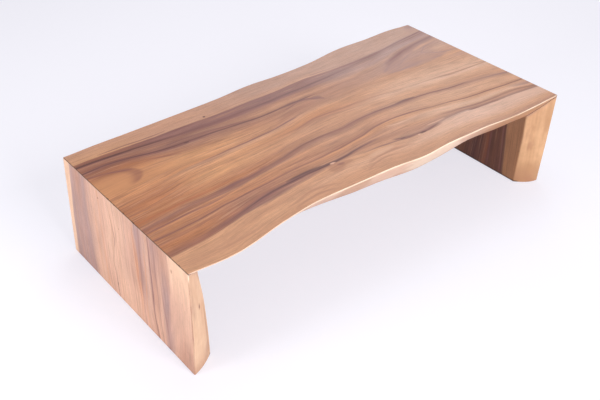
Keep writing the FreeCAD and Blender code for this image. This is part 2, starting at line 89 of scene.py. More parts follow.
# A figure is how the wood of one slab looks. Its lengths are in millimetres.
# "lines": grain lines from the front edge to the back edge, each by how far across the table it
# lies at even stations along the slab. "shares": where each stands between the two edges.
# "sap_shares": where the heartwood starts and ends. "grain": how strong the grain's streaks are
# at even stations. "bark": the two tones of the live edge.
# "zones": the broad colours across the slab, at the places along it in "zone_shares".
# "streaks": they follow a line, with strengths at even stations, the width of their front and
# back side, and a tone. "marks": streaks with a start, an end and a line of their own.
# "eyes": nested arches, by where they open, the middle there, its slope, the way they point, how
# long and how wide they are, how far along the front arm starts, and the strengths from the
# middle to the rim.
# "spots": pin knots and flecks, by their place along and across, how long and wide they are, how
# strong, and a tone. "knots": the same on the front live edge, by depth in place of the way
# across.
TOP_FIGURE = {
    "lines": {
        "front_edge": (-367, -377, -357, -335, -326, -330, -332, -344, -337, -340, -351, -351, -347),
        "sap_edge": (-289, -281, -256, -241, -229, -215, -222, -232, -236, -228, -245, -252, -266),
        "strong": (-278, -271, -243, -218, -208, -206, -190, -188, -195, -208, -227, -232, -255),
        "thin": (-208, -202, -186, -176, -165, -163, -150, -127, -130, -154, -176, -188, -200),
        "long": (-153, -135, -130, -118, -97, -73, -72, -59, -62, -71, -91, -104, -133),
        "middle": (-60, -48, -22, -8, -4, 5, 24, 19, 14, -1, -12, -23, -30),
        "wisp": (-10, 10, 30, 32, 39, 54, 80, 90, 95, 100, 106, 98, 100),
        "branch": (177, 176, 152, 148, 142, 137, 147, 150, 152, 158, 194, 230, 242),
        "core": (215, 212, 204, 198, 195, 200, 207, 213, 222, 236, 250, 262, 276),
        "rim": (228, 229, 229, 231, 230, 237, 242, 252, 250, 252, 266, 285, 300),
        "back_edge": (291, 298, 302, 308, 314, 325, 331, 332, 344, 365, 367, 376, 363),
    },
    "shares": (0.0, 0.13, 0.17, 0.25, 0.34, 0.48, 0.58, 0.72, 0.81, 0.85, 1.0),
    "sap_shares": (0.125, 0.85),
    "grain": (1.0, 0.85, 0.65, 0.45, 0.35),
    "bark": ("bark_rose", "bark_dull"),
    "zones": (
        (
            (0.00, "sap"), (0.06, "sap_dull"), (0.10, "sap"), (0.125, "sap"), (0.133, "brown"),
            (0.17, "brown"), (0.20, "amber"), (0.245, "light_amber"), (0.31, "light_amber"),
            (0.325, "brown"), (0.348, "light_brown"), (0.37, "amber"), (0.40, "amber"),
            (0.43, "light_amber"), (0.48, "amber"), (0.53, "light_amber"), (0.60, "honey"),
            (0.655, "honey"), (0.685, "amber"), (0.71, "brown"), (0.72, "heart"), (0.74, "brown"),
            (0.78, "drab"), (0.80, "heart"), (0.82, "umber"), (0.832, "brown"), (0.85, "brown"),
            (0.856, "sap"), (1.00, "sap_back"),
        ),
        (
            (0.00, "sap_dull"), (0.05, "sap"), (0.09, "sap_dull"), (0.125, "sap"), (0.133, "drab"),
            (0.16, "heart"), (0.18, "brown"), (0.245, "light_brown"), (0.26, "light_amber"),
            (0.31, "honey"), (0.325, "drab"), (0.345, "brown"), (0.365, "amber"),
            (0.385, "light_amber"), (0.43, "gold"), (0.52, "gold"), (0.57, "rose_tan"),
            (0.585, "honey"), (0.61, "gold"), (0.65, "gold"), (0.69, "light_brown"), (0.71, "drab"),
            (0.72, "heart"), (0.74, "drab"), (0.785, "drab"), (0.80, "plum"), (0.85, "plum"),
            (0.857, "sap_back"), (1.00, "sap_back"),
        ),
        (
            (0.00, "sap_dull"), (0.04, "tan"), (0.08, "rose_tan"), (0.11, "tan"), (0.125, "sap"),
            (0.135, "sap_dull"), (0.16, "light_brown"), (0.18, "tan"), (0.20, "light_brown"),
            (0.24, "honey"), (0.26, "light_brown"), (0.31, "tan"), (0.33, "drab"),
            (0.35, "light_brown"), (0.38, "tan"), (0.44, "tan"), (0.46, "light_brown"),
            (0.49, "light_amber"), (0.53, "honey"), (0.56, "tan"), (0.59, "light_brown"),
            (0.71, "light_brown"), (0.725, "brown"), (0.745, "tan"), (0.77, "light_brown"),
            (0.79, "plum"), (0.845, "plum"), (0.857, "sap_back"), (0.90, "sap_rose"),
            (1.00, "sap_rose"),
        ),
        # Towards the right end the tones are paler, pinker and greyer: partly the wood, partly a painted
        # sheen.
        (
            (0.00, "rose_brown"), (0.035, "rose_tan"), (0.08, "sap_cool"), (0.12, "sap_cool"),
            (0.133, "grey_mauve"), (0.15, "rose_brown"), (0.17, "rose_tan"), (0.205, "sap_pale"),
            (0.235, "rose_tan"), (0.31, "rose_tan"), (0.335, "rose_brown"), (0.37, "tan"),
            (0.43, "rose_tan"), (0.47, "sap_pale"), (0.56, "tan"), (0.58, "tan"), (0.64, "rose_brown"),
            (0.74, "rose_brown"), (0.77, "leg_mauve"), (0.79, "leg_mauve"), (0.81, "mauve"),
            (0.845, "mauve"), (0.86, "sap_rose"), (1.00, "sap_rose"),
        ),
    ),
    "zone_shares": (0.08, 0.20, 0.50, 0.80),
    "streaks": (
        ("sap_edge", (0.1, 0.1, 0.2, 0.2, 0.2, 0.1, 0.2, 0.2, 0.2, 0.7, 0.9, 0.8, 0.8), 2, 10, "drab"),
        ("strong", (0.1, 0.2, 0.7, 1, 1, 1, 0.8, 0.1, 0, 0.5, 0.6, 0.5, 0.6), 9, 12, "heart"),
        ("strong", (0, 0, 0.5, 0.8, 1, 1, 0.5, 0, 0, 0.3, 0.3, 0.2, 0.5), 5, 5, "umber"),
        ("thin", (0.9, 0.9, 0.9, 0.8, 0.6, 0.8, 0.9, 1, 0.9, 0.8, 0.8, 0.8, 0.7), 5, 6, "heart"),
        ("thin", (0.4, 0.5, 0.6, 0.2, 0.1, 0.2, 0.3, 0.4, 0.2, 0.2, 0.5, 0.6, 0.3), 3, 3, "umber"),
        ("thin", (0.2, 0.3, 0.3, 0.3, 0.2, 0.4, 0.4, 0.4, 0.2, 0.3, 0.4, 0.4, 0.3), 6, 20, "brown"),
        ("long", (0.5, 0.4, 0.3, 0.4, 0.8, 1, 0.7, 0.9, 1, 0.9, 0.9, 0.1, 0.5), 9, 5, "heart"),
        ("long", (0.2, 0.2, 0.1, 0.1, 0.4, 0.8, 0.2, 0.4, 0.6, 0.3, 0.5, 0, 0.1), 5, 3, "umber"),
        ("long", (0, 0, 0, 0.2, 0.4, 0.4, 0.4, 0.3, 0.3, 0.3, 0.3, 0.1, 0.2), 24, 5, "brown"),
        ("middle", (0, 0.2, 0.3, 0.2, 0.2, 0.4, 0.7, 0.6, 0.3, 0.3, 0.4, 0.6, 0.5), 4, 8, "brown"),
        ("branch", (0.9, 0.9, 1, 0.9, 0.9, 0.9, 0.9, 0, 0, 0, 0, 0, 0), 6, 8, "heart"),
        ("branch", (0.6, 0.8, 1, 0.6, 0.8, 0.7, 0.8, 0, 0, 0, 0, 0, 0), 4, 4, "umber"),
        ("core", (0, 0.2, 0.6, 0.8, 0.9, 0.9, 0.7, 0.4, 0.2, 0, 0, 0, 0), 22, 14, "heart"),
        ("core", (1, 1, 0.7, 0.2, 0.1, 0.3, 0.5, 0.6, 0.3, 0.1, 0, 0, 0), 7, 6, "umber"),
        ("rim", (0.2, 0.4, 0.6, 0.8, 0.7, 0.7, 0.7, 0.7, 0.6, 0.7, 0.8, 1, 0.8), 13, 2, "heart"),
    ),
    "marks": (
        (-680, -440, (240, 242, 241, 243), (0, 0.9, 0.9, 0.2), 3, 4, "heart"),
        (-762, -640, (149, 145, 138, 129, 119), (0.9, 0.9, 0.9, 0.9, 0.5), 5, 4, "heart"),
        (-762, -420, (-124, -114, -109, -102), (0.8, 0.9, 0.6, 0), 3, 9, "russet"),
        (-762, -400, (-172, -163, -157, -133), (0.8, 0.8, 0.6, 0.2), 4, 9, "heart"),
        (-500, -320, (-124, -121, -119, -104), (0.2, 0.9, 0.9, 0.4), 9, 10, "heart"),
        (-762, -430, (-232, -222, -214, -208), (0.5, 0.6, 0.4, 0), 4, 8, "brown"),
        (-320, -180, (-206, -201, -200, -203), (0, 1, 1, 0.2), 9, 12, "umber"),
        (-300, -60, (-209, -203, -203, -200), (0, 0.8, 1, 0), 5, 5, "ink"),
        (-480, -60, (28, 33, 38, 40, 44, 54, 66), (0, 0.5, 0.7, 0.9, 0.9, 1, 0.3), 6, 5, "heart"),
        (-110, 190, (4, 20, 26, 18, 20, 27), (0, 0.6, 0.6, 0.6, 0.6, 0), 3, 5, "brown"),
        (-480, -200, (167, 167, 160, 152, 142), (0.7, 0.9, 0.9, 0.9, 0.3), 5, 6, "heart"),
        (-610, -470, (149, 131, 117, 103), (0.3, 0.8, 0.9, 0), 5, 7, "brown"),
        (-560, -360, (126, 114, 108, 104), (0, 0.7, 0.7, 0), 6, 8, "brown"),
        (-60, 30, (121, 130, 138, 140), (0.4, 0.8, 0.5, 0), 5, 6, "heart"),
        (-130, 60, (70, 92, 106, 112), (0.2, 0.6, 0.5, 0), 16, 16, "brown"),
        (-70, 98, (143, 147, 149, 147, 141, 130, 112), (0.2, 0.7, 0.9, 1, 1, 1, 0.1), 16, 7,
         "heart"),
        (-60, 290, (-221, -223, -229, -241, -238, -231), (0, 0.5, 0.9, 1, 0.7, 0), 5, 7, "heart"),
        (108, 290, (-224, -235, -238, -243, -239, -233), (0.5, 1, 0.6, 1, 0.8, 0), 4, 5, "ink"),
        (96, 300, (-222, -234, -238, -242, -240, -236), (0.2, 0.8, 0.7, 0.9, 0.7, 0), 9, 13, "heart"),
        (130, 260, (-150, -158, -160, -163), (0, 0.7, 0.5, 0), 6, 6, "sap_pale"),
        (-250, 90, (-171, -172, -168, -158, -150), (0, 0.5, 0.7, 0.6, 0), 2, 2, "gold"),
        (-100, 90, (-84, -82, -78), (0, 0.6, 0), 1, 2, "brown"),
        (-120, 60, (-94, -92, -88), (0, 0.6, 0), 1, 2, "brown"),
        (-270, -170, (-104, -102, -96), (0.2, 0.7, 0), 2, 2, "brown"),
        (262, 352, (-62, -61, -65), (0, 1, 0), 8, 8, "umber"),
        (640, 762, (-108, -121, -133), (0, 0.9, 0.9), 7, 8, "mauve"),
        (520, 610, (-12, -20, -28), (0, 0.7, 0), 3, 4, "brown"),
        (660, 762, (0, -10, -28), (0, 0.6, 0.8), 4, 4, "drab"),
        (400, 500, (-99, -108, -104), (0, 0.5, 0), 2, 3, "drab"),
        (420, 620, (-136, -141, -136), (0, 0.5, 0), 3, 4, "drab"),
        (425, 570, (-238, -244, -247), (0, 1, 0), 3, 8, "heart"),
        (660, 762, (-205, -222, -230), (0, 0.5, 0.7), 14, 26, "mauve"),
        (570, 762, (-268, -275, -280), (0, 0.9, 0), 14, 16, "sap_cool"),
        (240, 330, (-222, -224, -222), (0, 0.8, 0), 4, 5, "sap_pale"),
        (-60, 140, (-276, -264, -263, -269, -280), (0, 0.6, 0.7, 0.5, 0), 4, 12, "brown"),
        (-80, 70, (-300, -284, -281, -290), (0, 0.9, 0.8, 0), 4, 9, "light_brown"),
        (-400, -190, (-306, -292, -280, -284, -304), (0, 0.7, 0.9, 0.8, 0), 10, 5, "light_brown"),
        (-380, -220, (-322, -306, -302, -314), (0, 0.8, 0.9, 0.2), 9, 5, "light_brown"),
        (-720, -500, (-318, -312, -300, -284), (0, 0.7, 0.6, 0), 6, 9, "sap_dull"),
        (-660, -470, (-342, -334, -318), (0, 0.6, 0), 6, 9, "light_brown"),
        (170, 420, (263, 262, 259, 254), (0.8, 0.6, 0.3, 0), 4, 4, "mauve"),
        (395, 500, (247, 250, 256), (0, 0.9, 0), 5, 6, "heart"),
        (600, 762, (188, 200, 208, 212), (0, 0.6, 0.5, 0.1), 12, 10, "rose_tan"),
        (660, 762, (152, 152, 150), (0, 0.5, 0.2), 28, 28, "rose_tan"),
        (640, 762, (258, 266, 272), (0, 0.6, 0.7), 18, 16, "mauve"),
        (700, 762, (330, 340, 350), (0, 0.5, 0.9), 40, 40, "mauve"),
        (390, 540, (122, 152, 176, 193), (0.2, 0.9, 0.9, 0.6), 9, 7, "mauve"),
        (440, 600, (114, 142, 168, 184), (0, 0.6, 0.6, 0), 8, 8, "mauve"),
        (400, 580, (112, 107, 107, 113), (0.3, 0.8, 0.6, 0), 8, 5, "mauve"),
        (440, 762, (166, 196, 217, 232, 240), (0.3, 1, 1, 1, 1), 24, 20, "plum"),
        (470, 762, (180, 202, 220, 234, 240), (0, 0.7, 0.8, 0.8, 0.9), 10, 8, "heart"),
        (622, 730, (162, 184, 193, 197), (0.7, 0.9, 0.7, 0), 4, 5, "mauve"),
        (622, 762, (158, 134, 118, 112, 112), (0.7, 0.8, 0.9, 0.8, 0.7), 6, 5, "mauve"),
        (540, 762, (262, 268, 276, 284), (0, 0.7, 0.8, 0.6), 4, 5, "heart"),
        (90, 300, (131, 133, 136), (0, 0.6, 0), 7, 8, "light_brown"),
        (670, 762, (78, 70, 66), (0, 0.7, 0.7), 16, 18, "rose_brown"),
    ),
    "eyes": (
        (-780, 80, 0, 1, 330, 64, 0, (0.8, 0.8, 0.8, 0.7, 0.6, 0.5, 0.3, 0.1, 0), "honey"),
        (-762, 93, 0, 1, 154, 62, 0.7, (0, 0.1, 0.1, 0.1, 0.1, 0.2, 0.6, 0.9, 0), "brown"),
        (762, 178, 0.12, -1, 376, 74, 0.2, (0, 0.1, 0.2, 0.3, 0.3, 0.4, 0.6, 0.6, 0.1), "mauve"),
    ),
    "spots": (
        (-150, -232, 38, 26, 0.45, "brown"),
        (-110, -228, 34, 12, 0.45, "brown"),
        (-128, -226, 18, 7, 0.5, "heart"),
        (-146, -209, 12, 5, 0.9, "sap_pale"),
        (-136, -209, 5, 3, 0.5, "rose_tan"),
        (-298, 243, 6, 5, 0.9, "umber"),
        (183, -246, 7, 3, 0.9, "sap_pale"),
        (748, 352, 26, 16, 0.6, "mauve"),
        (-428, 146, 12, 5, 0.8, "umber"),
        (126, -232, 14, 4, 0.7, "umber"),
        (206, -243, 18, 5, 0.9, "umber"),
        (76, 128, 24, 15, 0.6, "heart"),
        (276, -268, 60, 15, 0.5, "sap_pale"),
        (20, -246, 66, 14, 0.4, "sap_pale"),
    ),
    "knots": (
        # On the top's live edge these are no knots: a painted highlight and, beside it, a darker patch.
        (170, 30, 150, 70, 0.5, "highlight_cream"),
        (-150, 40, 90, 60, 0.5, "shaded_bark"),
    ),
}

LEFT_LEG_FIGURE = {
    "lines": {
        "front_edge": (-367, -374, -374, -375, -370),
        "front_rim": (-268, -275, -272, -262, -250),
        "dark": (-177, -180, -182, -184, -199),
        "orange": (-97, -98, -106, -116, -112),
        "wavy": (30, 22, 26, 28, 20),
        "mauve_edge": (160, 165, 160, 150, 140),
        "back_rim": (256, 264, 271, 276, 280),
        "back_edge": (291, 295, 298, 300, 301),
    },
    "shares": (0, 0.15, 0.27, 0.38, 0.57, 0.78, 0.93, 1),
    "sap_shares": (0.14, 0.93),
    "grain": (0.45, 0.45),
    "bark": ("bark_peach", "bark_tan"),
    "zones": (
        (
            (0.00, "pale_peach"), (0.13, "pale_peach"), (0.15, "peach"), (0.18, "rose_brown"),
            (0.255, "leg_mauve"), (0.28, "peach"), (0.34, "grey_mauve"), (0.36, "grey_mauve"),
            (0.38, "peach"), (0.43, "peach"), (0.49, "light_peach"), (0.57, "light_peach"),
            (0.62, "peach"), (0.74, "peach"), (0.80, "grey_mauve"), (0.86, "rose_brown"),
            (0.925, "grey_mauve"), (0.935, "pale_peach"), (1.00, "pale_peach"),
        ),
        (
            (0.00, "light_peach"), (0.10, "peach"), (0.145, "peach"), (0.16, "grey_mauve"),
            (0.185, "grey_mauve"), (0.21, "peach"), (0.25, "rose_brown"), (0.27, "leg_mauve"),
            (0.29, "peach"), (0.34, "leg_mauve"), (0.37, "orange"), (0.40, "peach"), (0.46, "peach"),
            (0.54, "light_peach"), (0.62, "light_peach"), (0.66, "peach"), (0.75, "peach"),
            (0.81, "grey_mauve"), (0.86, "leg_mauve"), (0.89, "grey_mauve"), (0.925, "grey_mauve"),
            (0.935, "pale_peach"), (1.00, "pale_peach"),
        ),
        (
            (0.00, "rose_brown"), (0.06, "rose_brown"), (0.11, "peach"), (0.14, "leg_mauve"),
            (0.165, "leg_mauve"), (0.19, "peach"), (0.25, "light_peach"), (0.275, "rose_brown"),
            (0.29, "peach"), (0.35, "peach"), (0.42, "light_peach"), (0.52, "light_peach"),
            (0.60, "peach"), (0.72, "light_peach"), (0.775, "peach"), (0.81, "grey_mauve"),
            (0.925, "grey_mauve"), (0.935, "pale_peach"), (1.00, "pale_peach"),
        ),
    ),
    "zone_shares": (0.05, 0.5, 0.95),
    "streaks": (
        ("front_rim", (0.1, 0.2, 0.5, 0.7, 0.7), 5, 8, "leg_mauve"),
        ("dark", (0.6, 0.9, 0.9, 0.9, 0.9), 6, 5, "heart"),
        ("orange", (0.2, 0.6, 0.6, 0.3, 0.1), 6, 5, "russet"),
        ("back_rim", (0.8, 0.7, 0.5, 0.4, 0.3), 12, 1, "leg_mauve"),
    ),
    "marks": (
        (0, 357, (37, 31, 22, 14, 25, 36, 29, 25, 20), (0.3, 0.5, 0.6, 0.8, 0.6, 0.5, 0.7, 0.8, 0.6),
         3, 4, "heart"),
        (0, 220, (-122, -120, -118, -112), (0.8, 0.9, 0.8, 0.2), 4, 6, "grey_mauve"),
        (0, 357, (-131, -130, -128, -136), (0.7, 0.8, 0.6, 0.7), 4, 6, "plum"),
        (120, 357, (-232, -236, -250, -254), (0, 0.8, 0.9, 0.8), 5, 6, "plum"),
        (0, 357, (-204, -208, -214, -226), (0.4, 0.7, 0.6, 0.7), 4, 7, "plum"),
        (0, 180, (-52, -50, -56, -60), (0.5, 0.7, 0.4, 0), 3, 4, "leg_mauve"),
        (60, 357, (-150, -152, -146, -152), (0, 0.6, 0.5, 0.3), 4, 5, "orange"),
        (0, 357, (-60, -64, -66, -70), (0.3, 0.7, 0.8, 0.6), 10, 10, "peach"),
        (0, 357, (92, 88, 84, 76), (0.5, 0.4, 0.5, 0.5), 6, 8, "orange"),
        (0, 300, (6, 4, -4, -6), (0.5, 0.6, 0.4, 0), 2, 3, "drab"),
        (100, 357, (-74, -78, -82, -88), (0, 0.5, 0.6, 0.6), 3, 3, "drab"),
    ),
    "eyes": (),
    "spots": (
        (30, 90, 4, 3, 0.9, "umber"),
        (43, -290, 8, 4, 0.7, "brown"),
        (75, -20, 3, 3, 0.6, "umber"),
        (305, 25, 9, 3, 0.8, "umber"),
    ),
    "knots": (
        (152, 47, 12, 6, 0.7, "light_brown"),
        (152, 47, 6, 3, 0.8, "heart"),
        (250, 70, 110, 6, 0.5, "light_brown"),
    ),
}

RIGHT_LEG_FIGURE = {
    "lines": {
        "front_edge": (-350, -360, -366),
        "sap_edge": (-266, -278, -300),
        "strong": (-255, -266, -286),
        "thin": (-200, -204, -210),
        "long": (-133, -140, -130),
        "middle": (-30, -30, -20),
        "wisp": (100, 106, 100),
        "branch": (242, 240, 236),
        "rim": (300, 306, 312),
        "back_edge": (363, 370, 370),
    },
    "shares": (0, 0.13, 0.17, 0.25, 0.34, 0.48, 0.58, 0.72, 0.85, 1),
    "sap_shares": (0.125, 0.85),
    "grain": (0.9, 0.9),
    "bark": ("bark_gold", "bark_brown"),
    "zones": (
        (
            (0.00, "sap"), (0.12, "sap_pale"), (0.130, "drab"), (0.15, "brown"), (0.21, "tan"),
            (0.25, "drab"), (0.29, "tan"), (0.34, "brown"), (0.40, "tan"), (0.50, "honey"),
            (0.57, "tan"), (0.63, "drab"), (0.70, "tan"), (0.80, "brown"), (0.845, "heart"),
            (0.86, "sap_back"), (1.00, "sap_back"),
        ),
        (
            (0.00, "inner_sap"), (0.12, "inner_sap"), (0.130, "drab"), (0.15, "heart"), (0.22, "brown"),
            (0.26, "heart"), (0.30, "brown"), (0.36, "heart"), (0.42, "brown"), (0.50, "light_brown"),
            (0.58, "brown"), (0.66, "heart"), (0.74, "brown"), (0.84, "heart"), (0.86, "sap_back"),
            (1.00, "sap_back"),
        ),
    ),
    "zone_shares": (0, 0.5),
    "streaks": (
        ("strong", (0.9, 0.8, 0.8), 6, 12, "heart"),
        ("thin", (0.9, 0.7, 0.8), 6, 8, "heart"),
        ("long", (0.5, 0.7, 0.8), 8, 12, "umber"),
        ("middle", (0.5, 0.6, 0.5), 6, 9, "heart"),
        ("branch", (0.6, 0.7, 0.6), 8, 8, "heart"),
        ("rim", (0.8, 0.8, 0.7), 10, 3, "heart"),
    ),
    "marks": (
        (0, 357, (-192, -190, -188), (0.3, 0.5, 0.3), 24, 20, "russet"),
        (0, 357, (-168, -165, -158), (0.4, 0.9, 0.8), 6, 8, "umber"),
        (60, 300, (-98, -96, -92), (0, 0.5, 0), 16, 20, "russet"),
    ),
    "eyes": (),
    "spots": (),
    "knots": (
        (80, 16, 70, 16, 0.5, "bark_brown"),
        (30, 60, 12, 8, 0.4, "light_brown"),
        (355, 40, 110, 90, 0.8, "bark_brown"),
        (112, 12, 40, 9, 0.6, "bark_brown"),
    ),
}

# Widest reach of the grain lines either side of the middle of the table, in metres.
REACH = 0.4
# How much the growth rings lean outwards from the outer face of a slab to its inner face.
LEAN_SHARE = 0.22
# How far the figure wanders from its guide lines, in metres: slowly, and in small ripples.
DRIFT = 0.004
RIPPLE = 0.0035
# How far the figure is pushed to and fro along the slab, in metres.
WANDER = 0.008
# How far the broad colours sway across the slab, as a share of its width.
SWAY = 0.015

# How fine each noise is: its ripples to a metre along the slab, across it and through it. From
# "sway" on it is ripples to the slab's whole width across it, and from "edge_band" on it is to a
# metre again, on the live edges, along the slab, through it and across it.
SCALES = {
    "drift": (2.2, 9.0, 5.0),
    "ripple": (11.0, 26.0, 12.0),
    "wander": (5.0, 20.0, 10.0),
    "bump_grain": (10.0, 450.0, 250.0),
    "bump_pores": (50.0, 1300.0, 900.0),
    "sway": (4.0, 30.0, 10.0),
    "cloud": (8.0, 12.0, 6.0),
    "band": (3.5, 52.0, 30.0),
    "fine": (10.0, 330.0, 200.0),
    "pores": (50.0, 1000.0, 700.0),
    "patchy": (9.0, 60.0, 30.0),
    "gloss": (6.0, 18.0, 10.0),
    "edge_band": (3.0, 70.0, 40.0),
    "edge_cloud": (16.0, 22.0, 8.0),
    "edge_dark": (9.0, 26.0, 20.0),
    "edge_uneven": (14.0, 5.0, 5.0),
    "edge_nicks": (60.0, 60.0, 60.0),
}
# The levels between which most of a noise lies, and the middle part of them.
NOISE_SPAN = (0.3, 0.7)
MIDDLE_SPAN = (0.35, 0.65)

# The grain's streaks, from broad to fine: the scales of their noise, the levels of it at which
# they start and are full, how strong they are, and a tone.
GRAIN_LAYERS = (
    ((1.8, 24.0, 12.0), 0.52, 0.70, 0.40, "brown"),
    ((2.4, 34.0, 16.0), 0.54, 0.72, 0.40, "gold"),
    ((3.6, 80.0, 40.0), 0.53, 0.68, 0.50, "brown"),
    ((4.4, 120.0, 70.0), 0.55, 0.70, 0.45, "rose_tan"),
    ((6.0, 190.0, 90.0), 0.54, 0.68, 0.50, "heart"),
)
# How much of them shows in the sapwood, and over what share of the width that changes.
SAP_GRAIN = 0.35
SAP_BLEND = 0.01
# How dark and how light the wood gets in clouds, in bands, in fine lines and at the pores.
CLOUD_LEVELS = (0.92, 1.07)
BAND_LEVELS = (-0.16, 0.12)
FINE_LEVELS = (0.78, 1.18)
PORE_LEVEL = 0.75
PORE_SPAN = (0.6, 0.7)
# Painted shade: the faces under the table are darker than the ones outside, and the change lies
# this far under them, in metres.
INNER_SHADE_LEVEL = 0.62
INNER_SHADE_DEPTHS = (0.006, 0.002)

# How weak and how strong the streaks, marks and eyes get along their way.
PATCHY_LEVELS = (0.7, 1.25)
# How far past its ends a mark fades out, in metres.
FADE = 0.012
# Shares of an eye's size: where it fades out, where its back side starts, where its front arm
# starts, counted from the place given for it, and where its mouth is.
RIM_SHARE = 1.15
EYE_BACK = (-0.25, 0.25)
EYE_ARM = (-0.2, 0.1)
EYE_MOUTH = (-0.02, 0.1)
# The depths over which the spots fade out, in metres, and where in an oval its soft rim starts.
SPOT_DEPTHS = (0.01, 0.02)
OVAL_RIM = 0.2

# Which slopes of the surface are live edge, outer arris, or ridge and sawn end.
BARK_SLOPES = (0.30, 0.55)
ARRIS_SLOPES = (0.12, 0.32)
RIDGE_SLOPES = (0.2, 0.5)
# How much of the figure the live edge's own colour hides, and how its dark patches show.
BARK_COVER = 0.88
DARK_SPAN = (0.54, 0.72)
DARK_SHARE = 0.45
# The front half of the table, in metres across it.
FRONT_HALF = (-0.1, 0.1)
# Painted shade: where the top's live edge turns darker, in metres along the table, and how much of
# that shows at the front and at the back.
SHADED_END_RUN = (0.30, 0.52)
SHADED_END_FRONT = 0.95
SHADED_END_BACK = 0.50
# The pale band at the top of the live edge, paler wood with a painted highlight: where along the
# table it gets stronger, and from what to what, how deep it reaches, in metres, and how much of it
# shows off the arris.
BROW_RUN = (-0.48, -0.22)
BROW_LEVELS = (0.35, 0.8)
BROW_DEPTHS = (0.002, 0.008)
BROW_SHARE = 0.5
# The legs' arrises: how far down the painted highlight at the corner fades and the dark hairline
# sets in, in metres.
CORNER_HIGHLIGHT_RUN = (0.006, 0.035)
CORNER_HIGHLIGHT_SHARE = 0.75
HAIRLINE_RUN = (0.012, 0.035)
HAIRLINE_SHARE = 0.65
# How strong the painted highlight on the ridge is.
RIDGE_HIGHLIGHT_SHARE = 0.5
# Painted shade on the live edges near the floor, and a painted contact shadow along the inner
# side of the feet.
FOOT_SHADE_HEIGHT = 0.09
FOOT_SHADE_SHARE = 0.6
FOOT_SHADOW_HEIGHTS = (0.001, 0.010)
FOOT_SHADOW_DEPTHS = (0.8 * THICKNESS, 0.95 * THICKNESS)
FOOT_SHADOW_SHARE = 0.9
# The mitre joint, in metres from its middle: its nicks, the smear of glue beside it on the live
# edges, and its line.
NICK_SPAN = (0.60, 0.75)
NICK_DEPTH = 0.0016
SMEAR_REACH = (0.001, 0.014)
SMEAR_SHARE = 0.75
JOINT_REACH = (0.0006, 0.0024)
JOINT_SHARE = 0.95

# The oiled surface: its gloss, and the height of its grain and pores.
OIL_IOR = 1.45
ROUGHNESS = (0.38, 0.48)
BUMP_STRENGTH = 0.25
BUMP_DISTANCE = 0.0003
BUMP_GRAIN = 0.6
BUMP_PORES = -0.8
BUMP_PORE_SPAN = (0.6, 0.72)


def tone(name):
    """A named colour as a linear colour for a shader."""
    parts = []
    for level in TONES[name]:
        share = level / 255
        parts.append(share / 12.92 if share <= 0.04045 else ((share + 0.055) / 1.055) ** 2.4)
    return (*parts, 1.0)


class Wires:
    """Adds nodes to one tree. Each method returns the output socket of what it adds."""

    def __init__(self, tree):
        self.tree = tree

    def add(self, kind, inputs=(), output=0, **settings):
        node = self.tree.nodes.new(kind)
        for key, value in settings.items():
            setattr(node, key, value)
        for key, value in dict(inputs).items():
            self.feed(node.inputs[key], value)
        return node.outputs[output]

    def feed(self, socket, value):
        """Link an output socket to an input socket, or set the input to a plain value."""
        if isinstance(value, bpy.types.NodeSocket):
            self.tree.links.new(value, socket)
        else:
            socket.default_value = value

    def maths(self, operation, *values):
        return self.add("ShaderNodeMath", dict(enumerate(values)), operation=operation)

    def plus(self, *values):
        total = values[0]
        for value in values[1:]:
            total = self.maths("ADD", total, value)
        return total

    def minus(self, first, second):
        return self.maths("SUBTRACT", first, second)

    def times(self, *values):
        product = values[0]
        for value in values[1:]:
            product = self.maths("MULTIPLY", product, value)
        return product

    def line(self, value, slope, start):
        """A straight line: the value times the slope, from the start."""
        return self.maths("MULTIPLY_ADD", value, slope, start)

    def range(self, value, low, high, to_low=0.0, to_high=1.0, ends="LINEAR"):
        """From to_low to to_high while the value goes from low to high, and never past them."""
        inputs = {"Value": value, "From Min": low, "From Max": high, "To Min": to_low, "To Max": to_high}
        return self.add("ShaderNodeMapRange", inputs, clamp=True, interpolation_type=ends)

    def step(self, value, low, high, to_low=0.0, to_high=1.0):
        """Like range, with soft ends."""
        return self.range(value, low, high, to_low, to_high, "SMOOTHSTEP")

    def vector(self, x, y, z):
        return self.add("ShaderNodeCombineXYZ", {0: x, 1: y, 2: z})

    def split(self, vector):
        node = self.tree.nodes.new("ShaderNodeSeparateXYZ")
        self.feed(node.inputs[0], vector)
        return node.outputs

    def noise(self, place, scales, detail=2.0, roughness=0.5):
        """Noise over a place, with a scale of its own along each axis."""
        scaled = self.add("ShaderNodeMapping", {"Vector": place, "Scale": scales})
        inputs = {"Vector": scaled, "Scale": 1.0, "Detail": detail, "Roughness": roughness}
        return self.add("ShaderNodeTexNoise", inputs)

    def mix(self, share, first, second, blend="MIX"):
        node = self.tree.nodes.new("ShaderNodeMix")
        node.data_type = "RGBA"
        node.blend_type = blend
        for socket, value in ((node.inputs[0], share), (node.inputs[6], first), (node.inputs[7], second)):
            self.feed(socket, value)
        return node.outputs[2]

    def grey(self, level):
        return self.add("ShaderNodeCombineColor", {0: level, 1: level, 2: level})

    def curve(self, share, values):
        """A smooth curve through even stations, each value from 0 to 1."""
        node = self.tree.nodes.new("ShaderNodeFloatCurve")
        points = node.mapping.curves[0].points
        last = len(values) - 1
        points[0].location = (0.0, values[0])
        points[-1].location = (1.0, values[last])
        for index in range(1, last):
            points.new(index / last, values[index])
        node.mapping.update()
        self.feed(node.inputs["Value"], share)
        return node.outputs[0]

    def ramp(self, share, stops):
        """A colour ramp through named tones."""
        node = self.tree.nodes.new("ShaderNodeValToRGB")
        elements = node.color_ramp.elements
        elements.remove(elements[-1])
        elements[0].position = stops[0][0]
        elements[0].color = tone(stops[0][1])
        for place, name in stops[1:]:
            elements.new(place).color = tone(name)
        self.feed(node.inputs["Fac"], share)
        return node.outputs[0]


